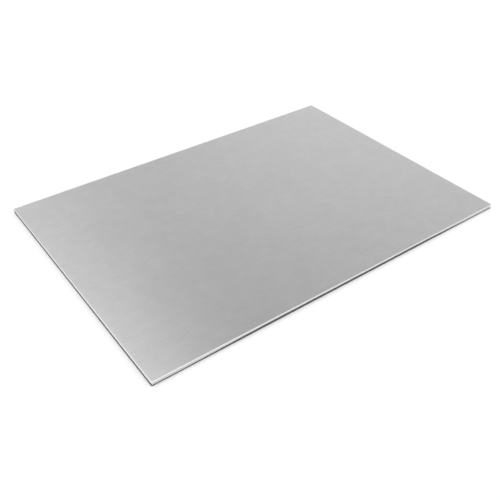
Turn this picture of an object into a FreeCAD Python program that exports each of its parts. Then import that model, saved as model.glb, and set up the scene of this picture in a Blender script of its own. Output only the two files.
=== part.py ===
"""Flat rectangular aluminium sheet, cut from stock and deburred all round.

The sheet lies flat, with +X along its length, +Y along its width and +Z up.
The origin is at the middle of the face that it rests on. Sizes are in millimetres.
"""

import FreeCAD, Part
import os

# The blank, as it is cut from stock.
SHEET_LENGTH = 420.0
SHEET_WIDTH = 300.0
SHEET_THICKNESS = 5.0

# The deburring: the four corners seen from above, then the sharp edge round each face.
CORNER_RADIUS = 1.2
TOP_EDGE_RADIUS = 0.6
BOTTOM_EDGE_RADIUS = 0.4

# Two heights nearer to each other than this are the same height.
SAME_HEIGHT = 1e-6


def edges_from_to(solid, lowest, highest):
    """Return the edges of a solid that start at one height and reach up to another."""
    found = []
    for edge in solid.Edges:
        starts_there = abs(edge.BoundBox.ZMin - lowest) < SAME_HEIGHT
        ends_there = abs(edge.BoundBox.ZMax - highest) < SAME_HEIGHT
        if starts_there and ends_there:
            found.append(edge)
    return found


def make_blank():
    """Return the blank, a square-edged plate whose underside is centred on the origin."""
    corner = FreeCAD.Vector(-SHEET_LENGTH / 2, -SHEET_WIDTH / 2, 0)
    return Part.makeBox(SHEET_LENGTH, SHEET_WIDTH, SHEET_THICKNESS, corner)


def make_sheet():
    """Return the finished sheet: the blank with its corners, then both its faces' edges, rounded."""
    blank = make_blank()
    cornered = blank.makeFillet(CORNER_RADIUS, edges_from_to(blank, 0, SHEET_THICKNESS))
    top_edges = edges_from_to(cornered, SHEET_THICKNESS, SHEET_THICKNESS)
    topped = cornered.makeFillet(TOP_EDGE_RADIUS, top_edges)
    return topped.makeFillet(BOTTOM_EDGE_RADIUS, edges_from_to(topped, 0, 0))


os.makedirs("parts", exist_ok=True)
make_sheet().exportStep("parts/sheet.step")
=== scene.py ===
"""The looks of a flat aluminium sheet, lying on a white studio floor.

The sheet is one piece. Its faces keep the fine grain of the rolling mill, and its four sides are
sheared: a bright rolled edge, a burnished band, and a torn band below, painted far darker than torn
metal as painted shade for the shadow in the gap under the edge.
"""

import logging
import math
from collections.abc import Callable
from dataclasses import dataclass
from enum import Enum

import bmesh
import bpy
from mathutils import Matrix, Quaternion, Vector


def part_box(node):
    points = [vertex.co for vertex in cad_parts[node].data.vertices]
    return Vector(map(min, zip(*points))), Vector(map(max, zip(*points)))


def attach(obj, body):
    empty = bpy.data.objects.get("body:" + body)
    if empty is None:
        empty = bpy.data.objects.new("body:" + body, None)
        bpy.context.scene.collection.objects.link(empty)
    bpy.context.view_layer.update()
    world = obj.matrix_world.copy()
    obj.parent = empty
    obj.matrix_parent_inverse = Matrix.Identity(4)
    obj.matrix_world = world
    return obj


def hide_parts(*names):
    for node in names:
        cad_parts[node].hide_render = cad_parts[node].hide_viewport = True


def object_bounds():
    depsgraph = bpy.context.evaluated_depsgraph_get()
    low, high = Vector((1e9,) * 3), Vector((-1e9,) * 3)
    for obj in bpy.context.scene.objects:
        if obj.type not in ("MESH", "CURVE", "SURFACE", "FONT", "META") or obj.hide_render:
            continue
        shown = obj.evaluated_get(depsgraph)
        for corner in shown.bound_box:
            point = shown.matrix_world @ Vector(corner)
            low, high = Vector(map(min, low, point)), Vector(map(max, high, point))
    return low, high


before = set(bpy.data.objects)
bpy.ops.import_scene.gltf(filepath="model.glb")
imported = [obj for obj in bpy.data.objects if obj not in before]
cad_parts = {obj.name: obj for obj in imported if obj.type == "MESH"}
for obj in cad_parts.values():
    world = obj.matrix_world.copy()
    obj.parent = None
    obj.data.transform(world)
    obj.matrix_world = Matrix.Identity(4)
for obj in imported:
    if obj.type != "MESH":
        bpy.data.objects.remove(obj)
CAD_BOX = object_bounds()

LOG = logging.getLogger("sheet")
SHEET_NODE = "sheet"
BODY = "root"
MM = 0.001

WHITE = (1.0, 1.0, 1.0, 1.0)
LEVEL_SLACK = 0.001 * MM
WALL_SLACK = 0.05 * MM
FLAT_FACE = 0.999
LEANING_FACE = 0.5
SMOOTH_ANGLE = math.radians(40.0)


class Part(Enum):
    """What an edit-mode test chooses: points, edges or faces."""

    POINT = "VERT"
    EDGE = "EDGE"
    FACE = "FACE"


class Ray(Enum):
    """The kinds of ray that a surface or the world can tell apart."""

    CAMERA = "Is Camera Ray"
    GLOSSY = "Is Glossy Ray"
    TRANSMISSION = "Is Transmission Ray"


# ---------------------------------------------------------------------------------------------
# Helpers for modelling
# ---------------------------------------------------------------------------------------------


def deselect_all() -> None:
    """Leave edit mode and deselect every object."""
    if bpy.context.object is not None and bpy.context.object.mode != "OBJECT":
        bpy.ops.object.mode_set(mode="OBJECT")
    bpy.ops.object.select_all(action="DESELECT")


def choose(piece: bpy.types.Object, part: Part, test: Callable[..., bool]) -> int:
    """Select the points, edges or faces of a piece in edit mode that pass a test.

    Args:
        piece: The object in edit mode.
        part: Whether points, edges or faces are chosen.
        test: Takes one bmesh element and says whether it is chosen.

    Returns:
        How many were chosen.
    """
    bpy.ops.mesh.select_mode(type=part.value)
    bpy.ops.mesh.select_all(action="DESELECT")
    mesh = bmesh.from_edit_mesh(piece.data)
    elements = {Part.POINT: mesh.verts, Part.EDGE: mesh.edges, Part.FACE: mesh.faces}[part]
    chosen = 0
    for element in elements:
        if test(element):
            element.select_set(True)
            chosen += 1
    mesh.select_flush_mode()
    bmesh.update_edit_mesh(piece.data)
    return chosen


def near(value: float, target: float, slack: float = 0.01 * MM) -> bool:
    """Say whether two lengths are the same, within a hundredth of a millimetre."""
    return abs(value - target) < slack


# ---------------------------------------------------------------------------------------------
# Helpers for materials
# ---------------------------------------------------------------------------------------------


class NodeTree:
    """A short way to write a node tree."""

    def __init__(self, tree: bpy.types.NodeTree) -> None:
        """Start from an empty tree."""
        self.tree = tree
        tree.nodes.clear()

    def node(self, kind: str, **settings: object) -> bpy.types.Node:
        """Add a node and set its properties.

        Args:
            kind: The node's type name.
            settings: The properties to set on it.

        Returns:
            The new node.
        """
        made = self.tree.nodes.new(kind)
        for name, value in settings.items():
            setattr(made, name, value)
        return made

    def feed(self, socket: bpy.types.NodeSocket, value: object) -> None:
        """Link an output to an input socket, or set the socket to a plain value."""
        if isinstance(value, bpy.types.NodeSocket):
            self.tree.links.new(value, socket)
        else:
            socket.default_value = value

    def maths(self, operation: str, *values: object) -> bpy.types.NodeSocket:
        """Add a Math node on one, two or three values, and return its result."""
        made = self.node("ShaderNodeMath", operation=operation)
        for socket, value in zip(made.inputs, values):
            self.feed(socket, value)
        return made.outputs[0]

    def ramp(
        self, value: object, low: float, high: float, start: float, end: float
    ) -> bpy.types.NodeSocket:
        """Ease a value that goes from low to high into one that goes from start to end.

        Args:
            value: The output or number to map.
            low: Where the easing starts.
            high: Where the easing ends.
            start: The result at and below low.
            end: The result at and above high.

        Returns:
            The eased value.
        """
        made = self.node("ShaderNodeMapRange", interpolation_type="SMOOTHSTEP")
        names = ("Value", "From Min", "From Max", "To Min", "To Max")
        for name, each in zip(names, (value, low, high, start, end)):
            self.feed(made.inputs[name], each)
        return made.outputs["Result"]

    def blend(self, factor: object, low: object, high: object, kind: str) -> bpy.types.NodeSocket:
        """Mix two values or colours.

        Args:
            factor: 0 for the low one and 1 for the high one.
            low: The first value or colour.
            high: The second value or colour.
            kind: "FLOAT" for values, "RGBA" for colours.

        Returns:
            The mixture.
        """
        made = self.node("ShaderNodeMix", data_type=kind)
        for name, value in (("Factor", factor), ("A", low), ("B", high)):
            sockets = [each for each in made.inputs if each.name == name and each.enabled]
            self.feed(sockets[0], value)
        return next(each for each in made.outputs if each.enabled)

    def noise(
        self, place: object, scale: float = 1.0, detail: float = 2.0, roughness: float = 0.5
    ) -> bpy.types.NodeSocket:
        """Add a Noise texture and return its value, which is about 0.5 on average."""
        made = self.node("ShaderNodeTexNoise")
        self.feed(made.inputs["Vector"], place)
        self.feed(made.inputs["Scale"], scale)
        self.feed(made.inputs["Detail"], detail)
        self.feed(made.inputs["Roughness"], roughness)
        return made.outputs["Fac"]

    def swing(self, value: object, reach: float, middle: object) -> bpy.types.NodeSocket:
        """Turn a noise, which is about 0.5 on average, into a change of a middle value."""
        return self.maths("MULTIPLY_ADD", self.maths("SUBTRACT", value, 0.5), reach, middle)

    def stretched(self, place: object, along: tuple[float, float, float]) -> bpy.types.NodeSocket:
        """Scale a place on each axis, so that a texture read there is drawn out."""
        made = self.node("ShaderNodeMapping", vector_type="POINT")
        self.feed(made.inputs["Vector"], place)
        self.feed(made.inputs["Scale"], along)
        return made.outputs["Vector"]

    def seen_by(self, *rays: Ray) -> bpy.types.NodeSocket:
        """Return 1 for any of these kinds of ray and 0 for the others."""
        path = self.node("ShaderNodeLightPath")
        total: object = 0.0
        for ray in rays:
            total = self.maths("MAXIMUM", total, path.outputs[ray.value])
        return total


# ---------------------------------------------------------------------------------------------
# Finishes
# ---------------------------------------------------------------------------------------------


@dataclass(frozen=True)
class MillFinish:
    """The satin face of rolled aluminium, with its fine grain along the length."""

    colour: tuple[float, float, float] = (0.72, 0.72, 0.724)
    roughness: float = 0.285
    anisotropy: float = 0.69
    grain_scale: tuple[float, float, float] = (125.0, 640.0, 125.0)
    grain_tint: float = 0.13
    hair_scale: tuple[float, float, float] = (30.0, 2900.0, 30.0)
    hair_tint: float = 0.07
    mottle_scale: float = 75.0
    mottle_tint: float = 0.09
    cloud_scale: float = 17.0
    cloud_tint: float = 0.04
    cloud_roughness: float = 0.02

    def make(self) -> bpy.types.Material:
        """Build the material.

        Returns:
            The mill finish, patterned on the piece's own coordinates.
        """
        material = bpy.data.materials.new("mill_finish")
        material.use_nodes = True
        nodes = NodeTree(material.node_tree)
        output = nodes.node("ShaderNodeOutputMaterial")
        shader = nodes.node("ShaderNodeBsdfPrincipled")
        shader.inputs["Metallic"].default_value = 1.0
        shader.inputs["Anisotropic"].default_value = self.anisotropy
        place = nodes.node("ShaderNodeTexCoord").outputs["Object"]
        grain = nodes.noise(nodes.stretched(place, self.grain_scale))
        hair = nodes.noise(nodes.stretched(place, self.hair_scale))
        mottle = nodes.noise(place, self.mottle_scale)
        cloud = nodes.noise(place, self.cloud_scale)
        tint = nodes.swing(grain, self.grain_tint, 1.0)
        tint = nodes.swing(hair, self.hair_tint, tint)
        tint = nodes.swing(mottle, self.mottle_tint, tint)
        tint = nodes.swing(cloud, self.cloud_tint, tint)
        colour = nodes.node("ShaderNodeVectorMath", operation="SCALE")
        colour.inputs[0].default_value = self.colour
        nodes.feed(colour.inputs["Scale"], tint)
        nodes.feed(shader.inputs["Base Color"], colour.outputs[0])
        nodes.feed(shader.inputs["Roughness"], nodes.swing(cloud, self.cloud_roughness, self.roughness))
        tangent = nodes.node("ShaderNodeTangent", direction_type="UV_MAP", uv_map=SheetPiece.UV_NAME)
        nodes.feed(shader.inputs["Tangent"], tangent.outputs["Tangent"])
        nodes.feed(output.inputs["Surface"], shader.outputs["BSDF"])
        return material


@dataclass(frozen=True)
class ShearedFinishAndShade:
    """The cut side of the sheet: a bright rolled edge, a burnished band, and a torn one below, painted dark
    as painted shade for the gap under the edge.
    """

    rolled: tuple[float, float, float] = (0.90, 0.90, 0.905)
    burnished: tuple[float, float, float] = (0.66, 0.66, 0.665)
    # Much darker than torn aluminium is: the torn band carries painted shade for the contact shadow and gap
    # under the edge.
    torn_and_painted_shade: tuple[float, float, float] = (0.125, 0.125, 0.128)
    burnished_roughness: float = 0.32
    torn_roughness: float = 0.60
    roll_start: float = 4.35 * MM
    roll_blur: float = 0.15 * MM
    # Heights of the torn band's top, which is also the edge of its painted shade: higher in the middle of
    # the long sides, as a painted shadow that widens there, and up to the rolled edge on the short sides.
    shaded_tear_at_ends: float = 1.6 * MM
    shaded_tear_at_middle: float = 3.1 * MM
    shaded_tear_on_short_sides: float = 4.35 * MM
    end_place: float = 197.0 * MM
    middle_place: float = 95.0 * MM
    turn_width: float = 1.0 * MM
    ragged_scale: float = 750.0
    ragged_reach: float = 0.6 * MM
    wavy_scale: float = 90.0
    wavy_reach: float = 0.5 * MM
    tear_blur: float = 0.12 * MM
    streak_scale: tuple[float, float, float] = (900.0, 900.0, 60.0)
    streak_tint: float = 0.22
    crumb_scale: float = 1900.0
    crumb_tint: float = 0.6
    bump_strength: float = 0.5
    bump_distance: float = 0.06 * MM

    def make(self) -> bpy.types.Material:
        """Build the material.

        Returns:
            The sheared finish and the painted shade in its torn band, which change with the height above the
            floor.
        """
        material = bpy.data.materials.new("sheared_edge_and_painted_shade")
        material.use_nodes = True
        nodes = NodeTree(material.node_tree)
        output = nodes.node("ShaderNodeOutputMaterial")
        shader = nodes.node("ShaderNodeBsdfPrincipled")
        shader.inputs["Metallic"].default_value = 1.0
        place = nodes.node("ShaderNodeTexCoord").outputs["Object"]
        streak = nodes.noise(nodes.stretched(place, self.streak_scale))
        crumb = nodes.noise(place, self.crumb_scale)
        split = nodes.node("ShaderNodeSeparateXYZ")
        nodes.feed(split.inputs[0], place)
        above_shaded_tear = self._above_shaded_tear(nodes, place, split)
        low, high = self.roll_start - self.roll_blur, self.roll_start + self.roll_blur
        on_roll = nodes.ramp(split.outputs["Z"], low, high, 0.0, 1.0)
        burnished = self._tinted(nodes, self.burnished, nodes.swing(streak, self.streak_tint, 1.0))
        # The torn colour below the line is painted shade laid over a duller torn band.
        torn_and_painted_shade = self._tinted(nodes, self.torn_and_painted_shade, nodes.swing(crumb, self.crumb_tint, 1.0))
        cut_and_shade = nodes.blend(above_shaded_tear, torn_and_painted_shade, burnished, "RGBA")
        nodes.feed(shader.inputs["Base Color"], nodes.blend(on_roll, cut_and_shade, (*self.rolled, 1.0), "RGBA"))
        drop = self.burnished_roughness - self.torn_roughness
        nodes.feed(shader.inputs["Roughness"], nodes.maths("MULTIPLY_ADD", above_shaded_tear, drop, self.torn_roughness))
        bump = nodes.node("ShaderNodeBump")
        bump.inputs["Strength"].default_value = self.bump_strength
        bump.inputs["Distance"].default_value = self.bump_distance
        nodes.feed(bump.inputs["Height"], nodes.blend(above_shaded_tear, crumb, streak, "FLOAT"))
        nodes.feed(shader.inputs["Normal"], bump.outputs["Normal"])
        nodes.feed(output.inputs["Surface"], shader.outputs["BSDF"])
        return material

    @staticmethod
    def _tinted(nodes: NodeTree, colour: tuple[float, float, float], tint: object) -> bpy.types.NodeSocket:
        """Scale a plain colour by a value that changes over the surface."""
        made = nodes.node("ShaderNodeVectorMath", operation="SCALE")
        made.inputs[0].default_value = colour
        nodes.feed(made.inputs["Scale"], tint)
        return made.outputs[0]

    def _above_shaded_tear(
        self, nodes: NodeTree, place: bpy.types.NodeSocket, split: bpy.types.Node
    ) -> bpy.types.NodeSocket:
        """Say how far a place is above the ragged line where the metal tore, which is also the top of the
        painted shade. The line stands higher in the middle of the long sides, as a painted shadow of the gap
        under the edge, and reaches up to the rolled edge on the short sides.

        Args:
            nodes: The tree to add to.
            place: The piece's own coordinates.
            split: The node that gives each of those coordinates by itself.

        Returns:
            0 below the line and 1 above it.
        """
        along = nodes.maths("ABSOLUTE", split.outputs["X"])
        line = nodes.ramp(along, self.middle_place, self.end_place, self.shaded_tear_at_middle, self.shaded_tear_at_ends)
        end = CAD_BOX[1].x
        short = nodes.ramp(along, end - self.turn_width, end - self.tear_blur, 0.0, self.shaded_tear_on_short_sides)
        line = nodes.maths("MAXIMUM", line, short)
        height = nodes.maths("SUBTRACT", split.outputs["Z"], line)
        height = nodes.swing(nodes.noise(place, self.ragged_scale), self.ragged_reach, height)
        height = nodes.swing(nodes.noise(place, self.wavy_scale), self.wavy_reach, height)
        return nodes.ramp(height, -self.tear_blur, self.tear_blur, 0.0, 1.0)


@dataclass(frozen=True)
class StudioFloor:
    """A matt white floor, which keeps a soft shadow."""

    albedo: float = 0.88
    glow: float = 0.17

    def make(self) -> bpy.types.Material:
        """Build the material.

        Returns:
            White paint that also glows a little for what looks at it, but lights nothing.
        """
        material = bpy.data.materials.new("studio_floor")
        material.use_nodes = True
        nodes = NodeTree(material.node_tree)
        output = nodes.node("ShaderNodeOutputMaterial")
        paint = nodes.node("ShaderNodeBsdfDiffuse")
        paint.inputs["Color"].default_value = (self.albedo, self.albedo, self.albedo, 1.0)
        glow = nodes.node("ShaderNodeEmission")
        glow.inputs["Color"].default_value = WHITE
        seen = nodes.seen_by(Ray.CAMERA, Ray.GLOSSY, Ray.TRANSMISSION)
        nodes.feed(glow.inputs["Strength"], nodes.maths("MULTIPLY", seen, self.glow))
        both = nodes.node("ShaderNodeAddShader")
        nodes.feed(both.inputs[0], paint.outputs[0])
        nodes.feed(both.inputs[1], glow.outputs[0])
        nodes.feed(output.inputs["Surface"], both.outputs[0])
        return material


# ---------------------------------------------------------------------------------------------
# The sheet
# ---------------------------------------------------------------------------------------------


@dataclass
class SheetPiece:
    """The sheet as one closed mesh, at the size of its CAD node."""

    UV_NAME = "grain"

    pitch: float = 2.5 * MM
    corner_radius: float = 1.2 * MM
    corner_segments: int = 5
    top_radius: float = 0.6 * MM
    bottom_radius: float = 0.4 * MM
    edge_segments: int = 4
    wall_rows: int = 8
    holding_gap: float = 0.15 * MM
    tear_height: float = 2.4 * MM
    tear_depth: float = 0.15 * MM
    ripple_depth: float = 0.08 * MM
    ripple_width: float = 45.0 * MM
    ripple_fade: float = 25.0 * MM

    def build(self) -> bpy.types.Object:
        """Model the sheet and dress it.

        Returns:
            The finished piece, which stands for the CAD node.
        """
        low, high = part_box(SHEET_NODE)
        self.size = high - low
        piece = self._lay_face()
        self._round_corners(piece)
        self._give_thickness()
        self._break_edges(piece)
        self._rule_walls(piece)
        self._lean_tear(piece)
        bpy.ops.object.mode_set(mode="OBJECT")
        self._ripple(piece)
        bpy.ops.object.shade_smooth_by_angle(angle=SMOOTH_ANGLE)
        self._map_grain(piece)
        self._dress(piece)
        LOG.info("%s: %d faces", piece.name, len(piece.data.polygons))
        return piece

    def _lay_face(self) -> bpy.types.Object:
        """Add the underside as a grid of small squares and stretch it to size."""
        deselect_all()
        columns = round(self.size.x / self.pitch)
        rows = round(self.size.y / self.pitch)
        bpy.ops.mesh.primitive_grid_add(
            x_subdivisions=columns, y_subdivisions=rows, size=1.0, location=(0, 0, 0)
        )
        piece = bpy.context.object
        piece.name = "aluminum_sheet"
        bpy.ops.object.mode_set(mode="EDIT")
        bpy.ops.mesh.select_all(action="SELECT")
        bpy.ops.transform.resize(value=(self.size.x, self.size.y, 1.0), center_override=(0, 0, 0))
        return piece

    def _round_corners(self, piece: bpy.types.Object) -> None:
        """Round the four corners of the face."""
        half = self.size / 2
        choose(piece, Part.POINT, lambda v: near(abs(v.co.x), half.x) and near(abs(v.co.y), half.y))
        bpy.ops.mesh.bevel(
            offset=self.corner_radius, offset_type="OFFSET", segments=self.corner_segments, affect="VERTICES"
        )

    def _give_thickness(self) -> None:
        """Extrude the face upwards by the thickness, and make all faces point outwards."""
        bpy.ops.mesh.select_all(action="SELECT")
        bpy.ops.mesh.extrude_region_move(TRANSFORM_OT_translate={"value": (0, 0, self.size.z)})
        bpy.ops.mesh.select_all(action="SELECT")
        bpy.ops.mesh.normals_make_consistent(inside=False)

    def _break_edges(self, piece: bpy.types.Object) -> None:
        """Round the edge between the sides and each face."""
        for height, radius in ((self.size.z, self.top_radius), (0.0, self.bottom_radius)):
            choose(piece, Part.EDGE, lambda e, level=height: self._on_rim(e, level))
            bpy.ops.mesh.bevel(
                offset=radius, offset_type="OFFSET", segments=self.edge_segments, profile=0.5, affect="EDGES"
            )

    @staticmethod
    def _on_rim(edge: bmesh.types.BMEdge, level: float) -> bool:
        """Say whether an edge lies at a height and between a side and a face."""
        if not all(near(v.co.z, level) for v in edge.verts):
            return False
        return {abs(face.normal.z) > LEANING_FACE for face in edge.link_faces} == {True, False}

    def _rule_walls(self, piece: bpy.types.Object) -> None:
        """Divide the sides into level rows, and hold each face's rim with a narrow border."""
        top = self.size.z - self.top_radius
        choose(piece, Part.EDGE, lambda e: self._joins(e, self.bottom_radius, top))
        bpy.ops.mesh.subdivide(number_cuts=self.wall_rows - 1)
        for height in (self.size.z, 0.0):
            choose(piece, Part.FACE, lambda f, level=height: all(near(v.co.z, level) for v in f.verts))
            bpy.ops.mesh.inset(thickness=self.holding_gap, use_boundary=True)

    def _lean_tear(self, piece: bpy.types.Object) -> None:
        """Draw the torn lower part of the sides inwards, the more the lower it is."""
        mesh = bmesh.from_edit_mesh(piece.data)
        levels = {round(v.co.z, 6) for v in mesh.verts if v.co.z < self.tear_height - self.holding_gap}
        half = self.size / 2
        for level in sorted(levels):
            choose(piece, Part.POINT, lambda v, level=level: near(v.co.z, level, LEVEL_SLACK))
            depth = self.tear_depth * (1.0 - level / self.tear_height)
            shrink = ((half.x - depth) / half.x, (half.y - depth) / half.y, 1.0)
            bpy.ops.transform.resize(value=shrink, center_override=(0, 0, 0))

    @staticmethod
    def _joins(edge: bmesh.types.BMEdge, low: float, high: float) -> bool:
        """Say whether an edge runs from one height to another."""
        heights = sorted(v.co.z for v in edge.verts)
        return near(heights[0], low, WALL_SLACK) and near(heights[1], high, WALL_SLACK)

    def _ripple(self, piece: bpy.types.Object) -> None:
        """Let the top face dip a little here and there, as rolled sheet does, but not along its rim."""
        half = self.size / 2
        group = piece.vertex_groups.new(name="top_face")
        for vertex in piece.data.vertices:
            if near(vertex.co.z, self.size.z):
                inside = min(half.x - abs(vertex.co.x), half.y - abs(vertex.co.y)) / self.ripple_fade
                share = min(max(inside, 0.0), 1.0)
                group.add([vertex.index], share * share * (3.0 - 2.0 * share), "REPLACE")
        clouds = bpy.data.textures.new("ripple", "CLOUDS")
        clouds.noise_scale = self.ripple_width
        clouds.noise_depth = 1
        dips = piece.modifiers.new("ripple", "DISPLACE")
        dips.texture = clouds
        dips.texture_coords = "LOCAL"
        dips.direction = "Z"
        dips.mid_level = 0.0
        dips.strength = -self.ripple_depth
        dips.vertex_group = group.name
        bpy.ops.object.modifier_apply(modifier=dips.name)
        piece.vertex_groups.clear()

    def _map_grain(self, piece: bpy.types.Object) -> None:
        """Give the piece a UV map in metres, whose first axis runs across the grain."""
        layer = piece.data.uv_layers.get(self.UV_NAME) or piece.data.uv_layers.new(name=self.UV_NAME)
        for loop in piece.data.loops:
            place = piece.data.vertices[loop.vertex_index].co
            layer.data[loop.index].uv = (place.y + place.z, place.x)
        for other in [each for each in piece.data.uv_layers if each.name != self.UV_NAME]:
            piece.data.uv_layers.remove(other)

    def _dress(self, piece: bpy.types.Object) -> None:
        """Give the two faces the mill finish and the sides the sheared finish."""
        piece.data.materials.append(MillFinish().make())
        piece.data.materials.append(ShearedFinishAndShade().make())
        for face in piece.data.polygons:
            face.material_index = 0 if abs(face.normal.z) > FLAT_FACE else 1
        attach(piece, BODY)
        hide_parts(SHEET_NODE)


# ---------------------------------------------------------------------------------------------
# The studio
# ---------------------------------------------------------------------------------------------


def direction(azimuth: float, elevation: float) -> Vector:
    """Return the unit vector at an azimuth, counted from +X towards +Y, and an elevation, in degrees."""
    turn, rise = math.radians(azimuth), math.radians(elevation)
    return Vector((math.cos(rise) * math.cos(turn), math.cos(rise) * math.sin(turn), math.sin(rise)))


@dataclass(frozen=True)
class Glow:
    """A soft round light in the studio. Its place and its two radii are angles in degrees."""

    azimuth: float
    elevation: float
    inner: float
    outer: float
    gain: float


@dataclass(frozen=True)
class StudioWorld:
    """The room round the sheet: pale walls under a darker ceiling, and three soft lights."""

    overhead: float = 0.4
    horizon: float = 1.0
    horizon_top: float = 55.0
    left_softbox: Glow = Glow(azimuth=115.0, elevation=60.0, inner=25.0, outer=35.0, gain=0.8)
    key_softbox: Glow = Glow(azimuth=-125.0, elevation=50.0, inner=30.0, outer=70.0, gain=0.65)
    back_window: Glow = Glow(azimuth=40.0, elevation=20.0, inner=10.0, outer=30.0, gain=0.15)

    def make(self) -> bpy.types.World:
        """Build the world.

        Returns:
            The world, white to the camera and the lit room to everything else.
        """
        world = bpy.data.worlds.new("studio")
        world.use_nodes = True
        nodes = NodeTree(world.node_tree)
        output = nodes.node("ShaderNodeOutputWorld")
        way = nodes.node("ShaderNodeTexCoord").outputs["Generated"]
        split = nodes.node("ShaderNodeSeparateXYZ")
        nodes.feed(split.inputs[0], way)
        top = math.sin(math.radians(self.horizon_top))
        level = nodes.ramp(split.outputs["Z"], 0.0, top, self.horizon, self.overhead)
        for glow in (self.left_softbox, self.key_softbox, self.back_window):
            dot = nodes.node("ShaderNodeVectorMath", operation="DOT_PRODUCT")
            nodes.feed(dot.inputs[0], way)
            dot.inputs[1].default_value = direction(glow.azimuth, glow.elevation)
            outer, inner = math.cos(math.radians(glow.outer)), math.cos(math.radians(glow.inner))
            patch = nodes.ramp(dot.outputs["Value"], outer, inner, 0.0, glow.gain)
            level = nodes.maths("ADD", level, patch)
        seen = nodes.seen_by(Ray.CAMERA)
        room = nodes.node("ShaderNodeBackground")
        room.inputs["Color"].default_value = WHITE
        nodes.feed(room.inputs["Strength"], nodes.blend(seen, level, 1.0, "FLOAT"))
        nodes.feed(output.inputs["Surface"], room.outputs[0])
        return world


@dataclass
class Studio:
    """The floor, the world and the camera."""

    floor_width: float = 60.0
    camera_azimuth: float = -125.9
    camera_elevation: float = 38.15
    camera_distance: float = 0.6557
    camera_roll: float = -0.35
    camera_target: tuple[float, float] = (-0.0472, -0.0595)
    lens: float = 47.75

    def build(self) -> None:
        """Set up everything round the sheet."""
        self._lay_floor()
        bpy.context.scene.world = StudioWorld().make()
        self._place_camera()
        bpy.context.scene.view_settings.view_transform = "Standard"

    def _lay_floor(self) -> None:
        """Lay the white floor under the sheet."""
        deselect_all()
        bpy.ops.mesh.primitive_plane_add(size=self.floor_width, location=(0, 0, 0))
        floor = bpy.context.object
        floor.name = "floor"
        floor.data.materials.append(StudioFloor().make())

    def _place_camera(self) -> None:
        """Stand the camera to the front left, looking down on the sheet."""
        data = bpy.data.cameras.new("camera")
        data.lens = self.lens
        data.clip_start = 0.01
        camera = bpy.data.objects.new("camera", data)
        back = direction(self.camera_azimuth, self.camera_elevation)
        target = Vector((*self.camera_target, CAD_BOX[1].z))
        camera.location = target + back * self.camera_distance
        roll = Quaternion(back, math.radians(self.camera_roll))
        camera.rotation_mode = "QUATERNION"
        camera.rotation_quaternion = roll @ (-back).to_track_quat("-Z", "Y")
        bpy.context.scene.collection.objects.link(camera)
        bpy.context.scene.camera = camera


def main() -> None:
    """Build the studio and the sheet."""
    logging.basicConfig(level=logging.INFO)
    Studio().build()
    SheetPiece().build()


if __name__ == "__main__":
    main()
